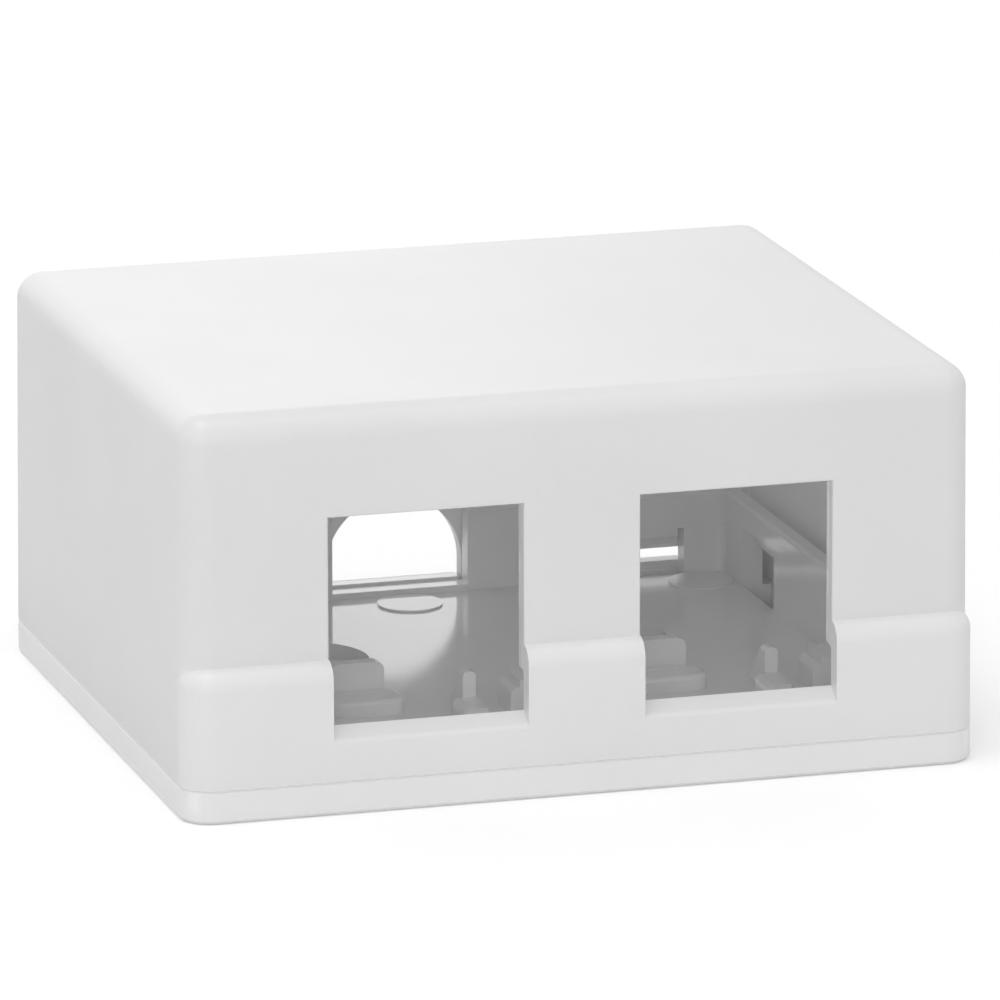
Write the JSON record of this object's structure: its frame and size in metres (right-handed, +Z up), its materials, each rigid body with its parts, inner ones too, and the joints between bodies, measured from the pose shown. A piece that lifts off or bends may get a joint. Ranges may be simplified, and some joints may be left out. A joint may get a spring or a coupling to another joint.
{
  "type": "surface mount jack box",
  "caption": "Low box with a snap-fit cover over a base tray: jack ports in the front, an arched cable entry in the back, screw recesses and jack cradles on the floor.",
  "frame": {"origin": "middle of the footprint, on the underside of the base", "axes": "+Z up off the wall or desk, -Y the side with the jack ports, +Y the side with the cable entry, +X to the right seen from the port side"},
  "size_m": [0.062, 0.054, 0.0306],
  "materials": {
    "white_abs": "moulded white ABS with a fine satin grain"
  },
  "bodies": {
    "base": {"base": "white_abs"},
    "cover": {"cover": "white_abs"}
  },
  "joints": [
    {"name": "cover_lift", "type": "slide", "parent": "base", "child": "cover", "axis": [0, 0, 1], "range_m": [0, 0.036]}
  ]
}
